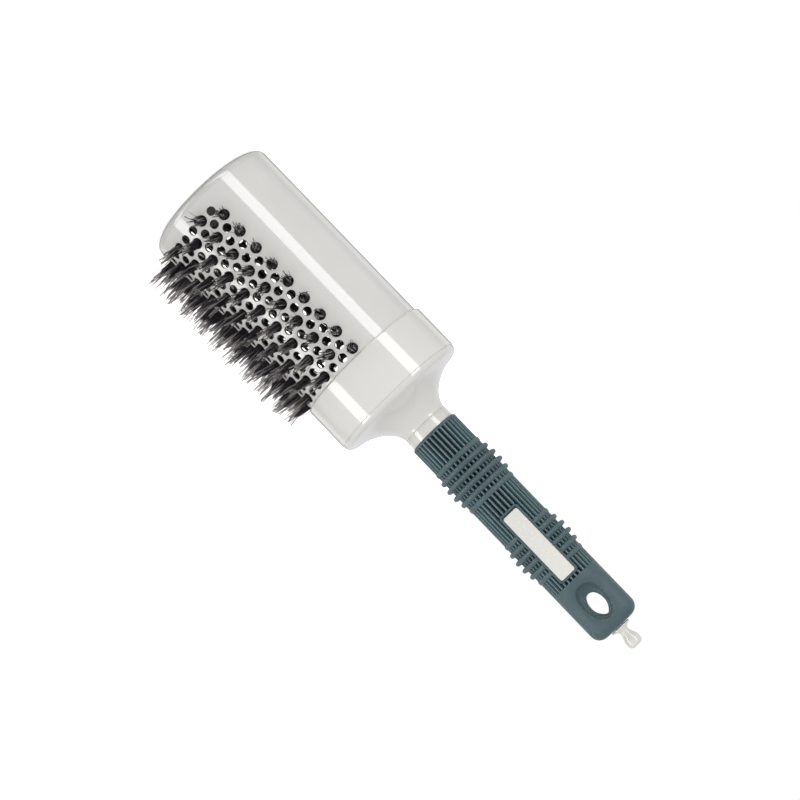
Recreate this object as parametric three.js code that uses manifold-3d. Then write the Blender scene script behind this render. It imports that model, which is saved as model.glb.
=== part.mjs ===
// Round barrel brush for blow-drying hair: a perforated thermal barrel on a moulded neck, with a ribbed
// rubber grip and a pull-out tail pin. It stands on the flat face of its end cap.
// Millimetres. +Z runs up the brush axis from the end cap to the tail pin. Angles about the axis are in
// degrees from the front (-Y), turning towards +X.

import * as THREE from 'three';
import { mergeGeometries, mergeVertices } from 'three/addons/utils/BufferGeometryUtils.js';
import Module from 'manifold-3d';

const wasm = await Module();
wasm.setup();

// ---------------------------------------------------------------- driving dimensions

const fit = 0.3; // running clearance between neighbouring pieces
const seam = 0.3; // gap left where two mouldings butt together

// barrel
const barrelRadius = 26.5;
const barrelWall = 1;
const capHeight = 3.5; // visible height of the end cap, all of it a rounded edge
const capRound = 5.5; // how far that edge reaches in over the face
const barrelShown = 80.7; // bare tube between the end cap and the collar
const collarLength = 18.2;
const collarWall = 0.8;
const capPlugDepth = 1.6; // how far the end cap's plug goes into the tube
const capFloor = 2.2; // thickness of the end cap's face
const spigotLength = 15; // how far the neck goes into the tube
const plugWall = 3; // thickness of the plug and spigot walls

// hole pattern: every third row holds tufts, the rows between are vents
const rowsPerTurn = 66;
const rowCount = 34;
const firstRowAngle = -3;
const tuftRowStep = 3;
const holePitch = 8.37;
const collarToHole = 2.83; // from the collar's edge to the first hole of an even row
const capToHole = 5; // least distance from the end cap to a hole's centre
const tuftHoleRadius = 2.05;
const ventRadius = 1.7;

// bristles
const tuftRowsPerBank = 3;
const strandsPerTuft = 3;
const strandSide = 1.2;
const strandCircle = 0.8; // radius of the strands' ring at the root
const strandSplay = 1.9; // and at the tips
const bristleShort = 8.4; // shortest and longest reach outside the barrel
const bristleLong = 12.5;
const backingWidth = 3.2;
const backingThickness = 1;
const backingRingHeight = 2.7;
const backingOverhang = 4; // degrees that the end arcs run past the outer rows
const barThickness = 0.8;
const barSink = 0.15; // how far the bars lie under the arcs' outer face
const barInset = 2.2; // how far the bars stop short of the bank's two ends
const wireRadius = 0.5;

// neck
const neckLength = 14.5; // trumpet, up to the seam with the core's ring
const neckRadius = 9.4;
const flareShoulder = 2.3; // rounded rim where the trumpet leaves the collar
const shoulderSweep = 78; // degrees of arc in that rim, to where the flare takes over on the same slope
const flareStart = 254; // degrees on the flare's arc at that point; it ends at 180
const flareFilling = 1.11; // 1 makes the flare's hollow an ellipse, more makes it shallower
const flareRimInset = 0.3; // how far the trumpet's rim stands in from the collar
const neckWall = 2.6;
const neckHollow = 8.2; // how far the neck's hollow reaches past the collar

// handle
const ringHeight = 4; // white ring of the core that shows between the neck and the grip
const coreSpigotRadius = 5;
const coreSpigotLength = 9;
const shaftRadius = 5.4;
const shaftFlat = 4.4; // half the distance across the shaft's two flats
const shaftToDish = 1.4; // rubber left between the shaft's end and the eye's dish
const gripLength = 98;
const gripRadius = 10.25;
const plainBand = 1.3;
const bandEdge = 0.6; // slant on the plain band's rim
const ribsToRing = 0.85; // bare drum between the ribs and a ring group
const ribsToSmooth = 0.8;
const ribCount = 34;
const ribShare = 0.42; // share of the rib pitch that is rib
const grooveDepth = 1.3;
const smoothLength = 23.8; // flattened end without ribs
const gripRingWidth = 1.8;
const gripRingPitch = 3.53;
const ringEdge = 0.35; // how far each ring's flanks lean in
const firstRingStart = 13.1; // centre of the first ring of each group
const lastRingToSmooth = 7.2; // from the last ring's centre to the smooth end
const ringRadii = [10.6, 11.5, 12, 12, 11.5, 10.6];

// flattened end with the hanging eye
const endThickness = 15;
const endCornerRadius = 4.1;
const eyeToEnd = 11.05; // from the eye's centre to the grip's end face
const eyeLength = 10.2;
const eyeWidth = 6.4;
const eyeFullness = 0.75; // 1 would make the eye nearly a rectangle, 0.55 an ellipse
const dishLength = 16.2;
const dishWidth = 10.4;
const dishDepth = 3.2;
const dishShift = 1.9; // the dish lies nearer to the ribs than the eye does

// plate on the front of the grip
const plateLength = 30.8;
const plateToSmooth = 2.3; // from the plate to the smooth end
const plateWidth = 6.85;
const plateThickness = 1.2;
const plateCorner = 0.85;
const plateProud = 0.05; // how far the plate's face stands over the ribs
const frameRim = 1;
const frameProud = 0.25; // how far the frame stands over the plate

// tail pin
const pinStemRadius = 1.9;
const pinStemLength = 4.6;
const pinFlangeRadius = 4.15;
const pinFlangeHeight = 1.7;
const pinWaistRadius = 1.75;
const pinHeadRadius = 2.95;
const pinFlangeTaper = 0.3;
const pinFillet = 0.9; // height over which the flange runs into the waist
const pinWaistHeight = 2.4;
const pinHeadHeight = 6.8; // height of the widest part of the head over the flange's seat
const pinHeadCorner = 1;
const pinLength = 9.6;

// facets
const roundSides = 32;
const smallSides = 14;
const gripSides = 18;
const eyeSteps = 3;

// ---------------------------------------------------------------- derived places

const tubeInner = barrelRadius - barrelWall;
const plugRadius = tubeInner - fit;
const tubeStart = capHeight + seam;
const collarStart = capHeight + barrelShown;
const collarEnd = collarStart + collarLength;
const tubeEnd = collarEnd - seam;
const spigotStart = collarEnd - spigotLength;
const capPlugEnd = capHeight + capPlugDepth;
const collarInner = barrelRadius + fit;
const collarRadius = collarInner + collarWall;
const neckEnd = collarEnd + neckLength;
const ringStart = neckEnd + seam;
const ringEnd = ringStart + ringHeight - seam;
const gripStart = ringEnd + seam;
const gripEnd = gripStart + gripLength;
const rowPitch = 360 / rowsPerTurn;
const pierced = barrelShown - collarToHole - holePitch / 2 - capToHole;
const holesPerRow = Math.floor(pierced / holePitch) + 1;
const flareRimRadius = collarRadius - flareRimInset;
const backingTop = plugRadius - 0.05;
const backingBottom = backingTop - backingThickness;
const wireCircle = backingBottom - fit - wireRadius;
const coreBoreRadius = coreSpigotRadius + fit;
const grooveFloor = gripRadius - grooveDepth;
const drumRadius = grooveFloor - 0.1; // the drum under the ribs and between the rings
const ribbedLength = gripLength - smoothLength;
const lastRing = ribbedLength - lastRingToSmooth;
const secondRingStart = lastRing - gripRingPitch * (ringRadii.length - 1);
const eyeCentre = gripLength - eyeToEnd;
const shaftLength = eyeCentre - dishShift - dishLength / 2 - shaftToDish;
const plateMiddle = gripStart + ribbedLength - plateToSmooth - plateLength / 2;
const plateFace = gripRadius + plateProud;
const socketDepth = pinStemLength + fit;

// ---------------------------------------------------------------- tools

const radians = THREE.MathUtils.degToRad;

// A three.js geometry as a manifold-3d solid, with its seams closed and its faces turned outward.
function solid(geometry) {
  const bare = geometry.index ? geometry.clone() : geometry;
  bare.deleteAttribute('normal');
  bare.deleteAttribute('uv');
  const welded = mergeVertices(bare, 1e-4);
  const position = welded.attributes.position.array;
  const faces = [];
  let volume = 0;
  for (let i = 0; i < welded.index.count; i += 3) {
    const [a, b, c] = [0, 1, 2].map((k) => welded.index.getX(i + k));
    if (a === b || b === c || c === a) continue;
    faces.push(a, b, c);
    const [p, q, r] = [a, b, c].map((k) => new THREE.Vector3().fromArray(position, 3 * k));
    volume += p.dot(q.cross(r));
  }
  if (volume < 0) faces.reverse();
  const vertProperties = new Float32Array(position);
  const triVerts = new Uint32Array(faces);
  return new wasm.Manifold(new wasm.Mesh({ numProp: 3, vertProperties, triVerts }));
}

function meshOf(name, body, material) {
  const { vertProperties, triVerts } = body.getMesh();
  const geometry = new THREE.BufferGeometry();
  geometry.setAttribute('position', new THREE.BufferAttribute(vertProperties, 3));
  geometry.setIndex(new THREE.BufferAttribute(triVerts, 1));
  geometry.computeVertexNormals();
  const mesh = new THREE.Mesh(geometry, material);
  mesh.name = name;
  return mesh;
}

// A turned solid from a profile of [radius, height] points that starts and ends on the axis or closes.
function turned(profile, sides = roundSides, startAngle = 0) {
  const points = profile.map(([radius, height]) => new THREE.Vector2(radius, height));
  const geometry = new THREE.LatheGeometry(points, sides, radians(startAngle), 2 * Math.PI);
  return solid(geometry.rotateX(Math.PI / 2));
}

// A hollow turned solid: the profile is closed back to its first point.
const ringOf = (profile, sides, startAngle) => turned([...profile, profile[0]], sides, startAngle);

const rodOf = (radius, bottom, top, sides = smallSides) =>
  turned([[0, bottom], [radius, bottom], [radius, top], [0, top]], sides);

// Points of an elliptic arc in a profile, from one angle to another in degrees, ends included.
// A filling above 1 brings the arc nearer to its chord.
function arc(centreRadius, centreHeight, radiusR, radiusH, from, to, steps, filling = 1) {
  const filled = (share) => Math.sign(share) * Math.abs(share) ** filling;
  return Array.from({ length: steps + 1 }, (_, i) => {
    const angle = radians(from + ((to - from) * i) / steps);
    const radius = centreRadius + radiusR * filled(Math.cos(angle));
    return [radius, centreHeight + radiusH * filled(Math.sin(angle))];
  });
}

function extruded(shape, depth, curveSegments = eyeSteps) {
  return new THREE.ExtrudeGeometry(shape, { depth, bevelEnabled: false, curveSegments });
}

// Turns a geometry drawn in X (across) and Y (along the brush), rising in Z, to face an angle.
const facing = (geometry, angle, height) =>
  geometry.rotateX(Math.PI / 2).rotateZ(radians(angle)).translate(0, 0, height);

function roundedRectangle(width, height, corner) {
  const x = width / 2;
  const y = height / 2;
  const shape = new THREE.Shape();
  shape.moveTo(-x + corner, -y);
  shape.lineTo(x - corner, -y);
  shape.absarc(x - corner, -y + corner, corner, -Math.PI / 2, 0);
  shape.lineTo(x, y - corner);
  shape.absarc(x - corner, y - corner, corner, 0, Math.PI / 2);
  shape.lineTo(-x + corner, y);
  shape.absarc(-x + corner, y - corner, corner, Math.PI / 2, Math.PI);
  shape.lineTo(-x, -y + corner);
  shape.absarc(-x + corner, -y + corner, corner, Math.PI, 1.5 * Math.PI);
  return shape;
}

// ---------------------------------------------------------------- hole pattern

const rowAngle = (row) => firstRowAngle + rowPitch * row;
const isTuftRow = (row) => row % tuftRowStep === 0;
const tuftRows = Array.from({ length: rowCount }, (_, row) => row).filter(isTuftRow);

// Heights of the holes of a row, lowest first. Odd rows sit half a pitch lower.
function holeHeights(row) {
  if (row < 0 || row >= rowCount) return [];
  const top = collarStart - collarToHole - (row % 2 ? holePitch / 2 : 0);
  return Array.from({ length: holesPerRow }, (_, i) => top - holePitch * (holesPerRow - 1 - i));
}

// ---------------------------------------------------------------- perforated barrel

// The tube wall is laid out strip by strip. A strip is one row pitch wide and is crossed by its own row's
// holes, while the holes of the two rows beside it reach into its edges as notches.
function perforatedTube() {
  const halfStrip = radians(rowPitch) / 2;
  const positions = [];
  const holeRadius = (row) => (isTuftRow(row) ? tuftHoleRadius : ventRadius);
  const halfWidth = (row) => holeRadius(row) / barrelRadius;
  const halfHeight = (row) => {
    const acrossEdge = barrelRadius * halfStrip;
    return Math.sqrt(holeRadius(row) ** 2 - acrossEdge ** 2);
  };
  const vertex = (radius, angle, height) => [radius * Math.sin(angle), -radius * Math.cos(angle), height];
  const triangle = (a, b, c) => positions.push(...a, ...b, ...c);
  const wall = ([angleA, heightA], [angleB, heightB]) => {
    const outerA = vertex(barrelRadius, angleA, heightA);
    const outerB = vertex(barrelRadius, angleB, heightB);
    const innerA = vertex(tubeInner, angleA, heightA);
    const innerB = vertex(tubeInner, angleB, heightB);
    triangle(outerA, innerB, innerA);
    triangle(outerA, outerB, innerB);
  };
  const panel = (contour) => {
    const flat = contour.map(([angle, height]) => new THREE.Vector2(angle * barrelRadius, height));
    for (const face of THREE.ShapeUtils.triangulateShape(flat, [])) {
      const outer = face.map((k) => vertex(barrelRadius, ...contour[k]));
      const inner = face.map((k) => vertex(tubeInner, ...contour[k]));
      triangle(outer[0], outer[1], outer[2]);
      triangle(inner[0], inner[2], inner[1]);
    }
  };
  // The three points that a neighbouring row's hole makes on a strip's edge, side +1 or -1.
  const notch = (middle, side, row, height) => {
    const edge = middle + side * halfStrip;
    const tip = middle + side * (2 * halfStrip - halfWidth(row));
    return [[edge, height - halfHeight(row)], [tip, height], [edge, height + halfHeight(row)]];
  };
  for (let strip = 0; strip < rowsPerTurn; strip += 1) {
    const middle = radians(rowAngle(strip));
    const [left, right] = [middle - halfStrip, middle + halfStrip];
    const before = strip === 0 ? -1 : strip - 1;
    const after = strip === rowsPerTurn - 1 ? 0 : strip + 1;
    const rise = strip < rowCount ? halfHeight(strip) : 0;
    const holes = holeHeights(strip);
    const bottoms = [tubeStart, ...holes.map((height) => height + rise)];
    const tops = [...holes.map((height) => height - rise), tubeEnd];
    bottoms.forEach((bottom, k) => {
      const within = (height) => height > bottom && height < tops[k];
      const rights = holeHeights(after).filter(within).map((height) => notch(middle, 1, after, height));
      const lefts = holeHeights(before).filter(within).map((height) => notch(middle, -1, before, height));
      panel([
        [left, bottom], [right, bottom], ...rights.flat(),
        [right, tops[k]], [left, tops[k]], ...lefts.flat().reverse(),
      ]);
    });
    wall([right, tubeStart], [left, tubeStart]);
    wall([left, tubeEnd], [right, tubeEnd]);
    for (const height of holes) {
      const reach = halfWidth(strip);
      const outline = [
        [middle + reach, height], [right, height + rise], [left, height + rise],
        [middle - reach, height], [left, height - rise], [right, height - rise],
      ];
      outline.forEach((point, k) => wall(point, outline[(k + 1) % outline.length]));
    }
  }
  const geometry = new THREE.BufferGeometry();
  geometry.setAttribute('position', new THREE.Float32BufferAttribute(positions, 3));
  return solid(geometry);
}

// ---------------------------------------------------------------- bristles and wires

// A repeatable scatter between 0 and 1, so that the strands' lengths differ from one to the next.
const scatter = (index) => (Math.sin(index * 12.9898) * 43758.5453) % 1 / 2 + 0.5;

// One strand: a three-sided spike from the backing out through its hole, drawn in X, Y and rising in Z.
function strand(turn, reach) {
  const foot = backingTop - backingThickness / 2;
  const corner = strandSide / Math.sqrt(3);
  const base = [0, 1, 2].map((k) => {
    const spin = turn + (k * 2 * Math.PI) / 3;
    const x = strandCircle * Math.cos(turn) + corner * Math.cos(spin);
    const y = strandCircle * Math.sin(turn) + corner * Math.sin(spin);
    return [x, y, foot];
  });
  const splay = strandCircle + ((strandSplay - strandCircle) * reach) / bristleLong;
  const tip = [splay * Math.cos(turn), splay * Math.sin(turn), barrelRadius + reach];
  const geometry = new THREE.BufferGeometry();
  geometry.setAttribute('position', new THREE.Float32BufferAttribute([...base, tip].flat(), 3));
  geometry.setIndex([0, 2, 1, 0, 1, 3, 1, 2, 3, 2, 0, 3]);
  return geometry;
}

// A bank of tuft rows: backing bars inside the tube, joined by an arc at each end, with their strands.
function bristleBank(bank) {
  const rows = tuftRows.slice(bank * tuftRowsPerBank, (bank + 1) * tuftRowsPerBank);
  const lowest = capPlugEnd + fit;
  const highest = spigotStart - fit;
  const arcShape = new THREE.Shape();
  const from = radians(rowAngle(rows[0]) - backingOverhang - 90);
  const to = radians(rowAngle(rows.at(-1)) + backingOverhang - 90);
  arcShape.absarc(0, 0, backingTop, from, to, false);
  arcShape.absarc(0, 0, backingBottom, to, from, true);
  const endArc = (bottom) => solid(extruded(arcShape, backingRingHeight, 4).translate(0, 0, bottom));
  let backing = endArc(lowest).add(endArc(highest - backingRingHeight));
  const barLength = highest - lowest - 2 * barInset;
  for (const row of rows) {
    const bar = new THREE.BoxGeometry(backingWidth, barLength, barThickness);
    bar.translate(0, 0, backingTop - barSink - barThickness / 2);
    backing = backing.add(solid(facing(bar, rowAngle(row), (highest + lowest) / 2)));
  }
  const strands = rows.flatMap((row) => holeHeights(row).flatMap((height, hole) =>
    Array.from({ length: strandsPerTuft }, (_, k) => {
      const mark = (row * holesPerRow + hole) * strandsPerTuft + k;
      const reach = bristleShort + (bristleLong - bristleShort) * scatter(mark + 1);
      const turn = (2 * Math.PI * (k + scatter(row + hole + 1) / 2)) / strandsPerTuft;
      return facing(strand(turn, reach), rowAngle(row), height);
    })));
  return backing.add(solid(mergeGeometries(strands)));
}

// The row's drawing wire, which holds the folded tufts against the tube. Its ends are trapped between the
// end cap's plug and the neck's spigot.
const anchorWire = () => rodOf(wireRadius, capPlugEnd + fit, spigotStart - fit, 6);

// ---------------------------------------------------------------- end cap, collar and neck

function endCap() {
  const inner = plugRadius - plugWall;
  const profile = [
    [0, 0],
    ...arc(barrelRadius - capRound, capHeight, capRound, capHeight, -90, 0, 4),
    [plugRadius, capHeight],
    [plugRadius, capPlugEnd],
    [inner, capPlugEnd],
    [inner, capFloor],
    [0, capFloor],
  ];
  return turned(profile);
}

function collarSleeve() {
  const lip = collarWall / 2;
  return ringOf([
    [collarInner, collarStart],
    [collarRadius - lip, collarStart],
    [collarRadius, collarStart + lip],
    [collarRadius, collarEnd - seam],
    [collarInner, collarEnd - seam],
  ]);
}

// The trumpet: a rounded rim, then an ellipse that runs out into the straight neck.
function neckMoulding() {
  const inner = plugRadius - plugWall;
  const flareHeight = neckLength - flareShoulder;
  const flareReach = flareRimRadius - neckRadius;
  const hollowTop = collarEnd + neckHollow;
  const shoulder = arc(
    flareRimRadius - flareShoulder, collarEnd, flareShoulder, flareShoulder, 0, shoulderSweep, 2,
  );
  const flare = arc(flareRimRadius, neckEnd, flareReach, flareHeight, flareStart, 180, 6, flareFilling);
  const profile = [
    [coreBoreRadius, hollowTop],
    [coreBoreRadius + neckWall, hollowTop],
    [inner, collarEnd],
    [inner, spigotStart],
    [plugRadius, spigotStart],
    [plugRadius, collarEnd],
    ...shoulder,
    ...flare,
    [coreBoreRadius, neckEnd],
  ];
  return ringOf(profile);
}

// ---------------------------------------------------------------- handle

// A round section with two flats, which keys the core in the grip.
function keyedSection(radius, flat) {
  const half = Math.asin(flat / radius);
  const shape = new THREE.Shape();
  shape.absarc(0, 0, radius, -half, half, false);
  shape.absarc(0, 0, radius, Math.PI - half, Math.PI + half, false);
  return shape;
}

function handleCore() {
  const spigotBottom = neckEnd - coreSpigotLength;
  const head = turned([
    [0, spigotBottom],
    [coreSpigotRadius, spigotBottom],
    [coreSpigotRadius, ringStart],
    [neckRadius, ringStart],
    [neckRadius, ringEnd],
    [0, ringEnd],
  ], roundSides / 2);
  const shaft = extruded(keyedSection(shaftRadius, shaftFlat), shaftLength + 1, 4);
  return head.add(solid(shaft.translate(0, 0, gripStart - 1)));
}

// Lengthwise ribs round a drum, between two heights of the grip.
function ribbedDrum(bottom, top) {
  const pitch = (2 * Math.PI) / ribCount;
  const half = (pitch * ribShare) / 2;
  const corners = [[grooveFloor, -half], [gripRadius, -half], [gripRadius, half], [grooveFloor, half]];
  const outline = Array.from({ length: ribCount }, (_, rib) => corners.map(([radius, offset]) => {
    const angle = (rib + 0.5) * pitch + offset;
    return new THREE.Vector2(radius * Math.cos(angle), radius * Math.sin(angle));
  }));
  const shape = new THREE.Shape(outline.flat());
  return solid(extruded(shape, top - bottom).translate(0, 0, gripStart + bottom));
}

// A group of finger rings round the groove floor. Both groups share one swelling outline.
function ringGroup(firstCentre) {
  const half = gripRingWidth / 2;
  const profile = ringRadii.flatMap((radius, i) => {
    const centre = gripStart + firstCentre + i * gripRingPitch;
    return [
      [drumRadius, centre - half],
      [radius, centre - half + ringEdge],
      [radius, centre + half - ringEdge],
      [drumRadius, centre + half],
    ];
  });
  const bottom = profile[0][1];
  const top = profile.at(-1)[1];
  return turned([[0, bottom], ...profile, [0, top]], gripSides);
}

// The smooth end: round like the grip at its root, pressed flat front and back towards the tail.
function gripEndBlock() {
  const bottom = ribbedLength;
  const corner = endCornerRadius;
  const profile = [
    [0, bottom],
    [gripRadius, bottom],
    [gripRadius, gripLength - corner],
    ...arc(gripRadius - corner, gripLength - corner, corner, corner, 0, 90, 4).slice(1),
    [0, gripLength],
  ].map(([radius, height]) => [radius, gripStart + height]);
  const side = new THREE.Shape();
  const ease = (gripLength - bottom) * 0.35;
  side.moveTo(-gripRadius, bottom);
  side.lineTo(gripRadius, bottom);
  side.quadraticCurveTo(endThickness / 2, bottom + ease / 2, endThickness / 2, bottom + ease);
  side.lineTo(endThickness / 2, gripLength);
  side.lineTo(-endThickness / 2, gripLength);
  side.lineTo(-endThickness / 2, bottom + ease);
  side.quadraticCurveTo(-endThickness / 2, bottom + ease / 2, -gripRadius, bottom);
  const press = facing(extruded(side, 4 * gripRadius, 4).translate(0, 0, -2 * gripRadius), 90, gripStart);
  return turned(profile, gripSides).intersect(solid(press));
}

// A pointed oval, long along the brush.
function eyeOutline(width, length) {
  const shape = new THREE.Shape();
  const x = width / 2;
  const y = length / 2;
  shape.moveTo(0, -y);
  shape.bezierCurveTo(x * eyeFullness, -y, x, -y * eyeFullness, x, 0);
  shape.bezierCurveTo(x, y * eyeFullness, x * eyeFullness, y, 0, y);
  shape.bezierCurveTo(-x * eyeFullness, y, -x, y * eyeFullness, -x, 0);
  shape.bezierCurveTo(-x, -y * eyeFullness, -x * eyeFullness, -y, 0, -y);
  return shape;
}

function hangingEye() {
  const height = gripStart + eyeCentre;
  const through = extruded(eyeOutline(eyeWidth, eyeLength), 4 * gripRadius, 3);
  let cut = solid(facing(through.translate(0, 0, -2 * gripRadius), 0, height));
  for (const angle of [0, 180]) {
    const dish = new THREE.SphereGeometry(1, 12, 6);
    dish.scale(dishWidth / 2, dishLength / 2, dishDepth);
    dish.translate(0, 0, endThickness / 2);
    cut = cut.add(solid(facing(dish, angle, height - dishShift)));
  }
  return cut;
}

// The framed seat on the front of the grip, and the recess that the plate drops into.
function plateSeat() {
  const frame = roundedRectangle(
    plateWidth + 2 * (fit + frameRim), plateLength + 2 * (fit + frameRim), plateCorner + frameRim,
  );
  const recess = roundedRectangle(plateWidth + 2 * fit, plateLength + 2 * fit, plateCorner + fit);
  const frameTop = plateFace + frameProud;
  const recessFloor = plateFace - plateThickness - fit;
  const frameFoot = shaftRadius + 1;
  const boss = extruded(frame, frameTop - frameFoot, 2).translate(0, 0, frameFoot);
  const pocket = extruded(recess, 4, 2).translate(0, 0, recessFloor);
  return { boss: solid(facing(boss, 0, plateMiddle)), pocket: solid(facing(pocket, 0, plateMiddle)) };
}

function gripSleeve() {
  const ringGap = gripRingWidth / 2 + ribsToRing;
  const groupLength = gripRingPitch * (ringRadii.length - 1);
  const zones = [
    [plainBand, firstRingStart - ringGap],
    [firstRingStart + groupLength + ringGap, secondRingStart - ringGap],
    [secondRingStart + groupLength + ringGap, ribbedLength - ribsToSmooth],
  ];
  const drum = rodOf(drumRadius, gripStart, gripStart + ribbedLength + 1, gripSides);
  const bandTop = gripStart + plainBand;
  const bandRadius = gripRadius / Math.cos(Math.PI / gripSides);
  const band = turned([
    [0, gripStart],
    [bandRadius - bandEdge, gripStart],
    [bandRadius, gripStart + bandEdge],
    [bandRadius, bandTop],
    [0, bandTop],
  ], gripSides);
  const seat = plateSeat();
  const body = wasm.Manifold.union([
    drum,
    band,
    ringGroup(firstRingStart),
    ringGroup(secondRingStart),
    gripEndBlock(),
    seat.boss,
    ...zones.map(([bottom, top]) => ribbedDrum(bottom, top)),
  ]);
  const bore = extruded(keyedSection(shaftRadius + fit, shaftFlat + fit), shaftLength + fit + 1, 4);
  const pinSocket = rodOf(pinStemRadius + fit, gripEnd - socketDepth, gripEnd + 1);
  return body
    .subtract(solid(bore.translate(0, 0, gripStart - 1)))
    .subtract(seat.pocket)
    .subtract(hangingEye())
    .subtract(pinSocket);
}

function labelPlate() {
  const blank = extruded(roundedRectangle(plateWidth, plateLength, plateCorner), plateThickness, 2);
  return solid(facing(blank.translate(0, 0, plateFace - plateThickness), 0, plateMiddle));
}

function tailPin() {
  const seat = gripEnd + seam;
  const flangeTop = seat + pinFlangeHeight;
  const headTop = pinLength - seam - pinHeadHeight;
  const profile = [
    [0, seat - seam - pinStemLength + fit],
    [pinStemRadius, seat - seam - pinStemLength + fit],
    [pinStemRadius, seat],
    [pinFlangeRadius, seat],
    [pinFlangeRadius - pinFlangeTaper, seat + pinFlangeHeight / 2],
    [pinWaistRadius + pinFillet / 2, flangeTop],
    [pinWaistRadius, flangeTop + pinFillet],
    [pinWaistRadius, flangeTop + pinWaistHeight],
    ...arc(pinHeadRadius - pinHeadCorner, seat + pinHeadHeight, pinHeadCorner, headTop, 0, 90, 2),
    [0, seat + pinLength - seam],
  ];
  return turned(profile, smallSides);
}

// ---------------------------------------------------------------- materials and assembly

const finish = (color, roughness, metalness = 0) =>
  new THREE.MeshStandardMaterial({ color, roughness, metalness });

const ceramic = finish(0xd5d4cf, 0.38, 0.3);
const pearl = finish(0xdedcd7, 0.3);
const teal = finish(0x54686b, 0.75);
const bristleBlack = finish(0x24211f, 0.5);
const steel = finish(0xb8bcc0, 0.3, 0.9);

const brush = new THREE.Group();
brush.add(meshOf('barrel_tube', perforatedTube(), ceramic));
brush.add(meshOf('end_cap', endCap(), pearl));
brush.add(meshOf('collar', collarSleeve(), pearl));
brush.add(meshOf('neck', neckMoulding(), pearl));
brush.add(meshOf('handle_core', handleCore(), pearl));
brush.add(meshOf('grip_sleeve', gripSleeve(), teal));
brush.add(meshOf('label_plate', labelPlate(), pearl));
brush.add(meshOf('tail_pin', tailPin(), pearl));

const bankCount = tuftRows.length / tuftRowsPerBank;
for (let bank = 0; bank < bankCount; bank += 1) {
  brush.add(meshOf(`bristle_bank_${bank + 1}`, bristleBank(bank), bristleBlack));
}

tuftRows.forEach((row, i) => {
  const wire = meshOf(`anchor_wire_${String(i + 1).padStart(2, '0')}`, anchorWire(), steel);
  const angle = radians(rowAngle(row));
  wire.position.set(wireCircle * Math.sin(angle), -wireCircle * Math.cos(angle), 0);
  brush.add(wire);
});

export default brush;
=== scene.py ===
"""Round barrel brush: its fine shells, filaments, finishes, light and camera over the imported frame.

Sizes are in millimetres unless a name says otherwise. The brush axis is +Z. Angles about it are in degrees
from the front, -Y, turning towards +X.
"""
import math
import random

import bmesh
import bpy
from mathutils import Matrix, Vector


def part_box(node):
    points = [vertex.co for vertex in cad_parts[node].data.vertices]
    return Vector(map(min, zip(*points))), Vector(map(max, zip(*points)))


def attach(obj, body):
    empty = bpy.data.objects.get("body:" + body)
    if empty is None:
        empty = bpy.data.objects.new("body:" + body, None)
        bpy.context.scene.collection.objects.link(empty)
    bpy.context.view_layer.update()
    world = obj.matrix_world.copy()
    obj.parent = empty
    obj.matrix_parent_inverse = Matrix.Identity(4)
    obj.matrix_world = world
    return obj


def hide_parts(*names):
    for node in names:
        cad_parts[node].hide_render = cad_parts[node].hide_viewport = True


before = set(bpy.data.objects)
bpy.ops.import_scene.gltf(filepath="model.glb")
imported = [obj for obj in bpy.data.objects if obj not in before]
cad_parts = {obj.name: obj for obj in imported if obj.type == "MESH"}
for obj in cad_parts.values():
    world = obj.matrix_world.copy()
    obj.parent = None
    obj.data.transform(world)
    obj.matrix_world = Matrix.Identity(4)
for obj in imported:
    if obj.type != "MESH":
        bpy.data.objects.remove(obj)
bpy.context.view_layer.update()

MM = 0.001


# ---------------------------------------------------------------- sizes from the frame

def extent(node):
    """A node's lowest and highest corners in millimetres."""
    low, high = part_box(node)
    return [v / MM for v in low], [v / MM for v in high]


TUBE_LOW, TUBE_HIGH = extent("barrel_tube")
COLLAR_LOW, COLLAR_HIGH = extent("collar")
NECK_LOW, NECK_HIGH = extent("neck")
CORE_LOW, CORE_HIGH = extent("handle_core")
GRIP_LOW, GRIP_HIGH = extent("grip_sleeve")
PLATE_LOW, PLATE_HIGH = extent("label_plate")
PIN_LOW, PIN_HIGH = extent("tail_pin")
CAP_TOP = extent("end_cap")[1][2]

BARREL_RADIUS = TUBE_HIGH[0]
BARREL_WALL = 1.0
FIT = 0.3  # clearance between neighbouring pieces
PLUG_WALL = 3.0
TUBE_INNER = BARREL_RADIUS - BARREL_WALL
CAP_HEIGHT = 3.5
CAP_ROUND = 5.5
CAP_FLOOR = 2.2
COLLAR_START = COLLAR_LOW[2]
COLLAR_RADIUS = COLLAR_HIGH[0]
COLLAR_OVERRUN = 0.45  # how far the collar shows past its solid
COLLAR_END = COLLAR_HIGH[2] + COLLAR_OVERRUN
NECK_END = NECK_HIGH[2]
NECK_RADIUS = 9.4
GRIP_START = GRIP_LOW[2]
GRIP_END = GRIP_HIGH[2]
GRIP_RADIUS = 10.25

# hole pattern
ROWS_PER_TURN = 66
ROW_COUNT = 34
FIRST_ROW_ANGLE = -3
TUFT_ROW_STEP = 3
HOLES_PER_ROW = 9
HOLE_PITCH = 8.37
COLLAR_TO_HOLE = 2.83
TOP_HOLE = COLLAR_START - COLLAR_TO_HOLE
TUFT_HOLE_RADIUS = 2.05
VENT_RADIUS = 1.7
HOLE_ROLL = 0.16
ROW_WIDTH = math.tau / ROWS_PER_TURN * BARREL_RADIUS

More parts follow.
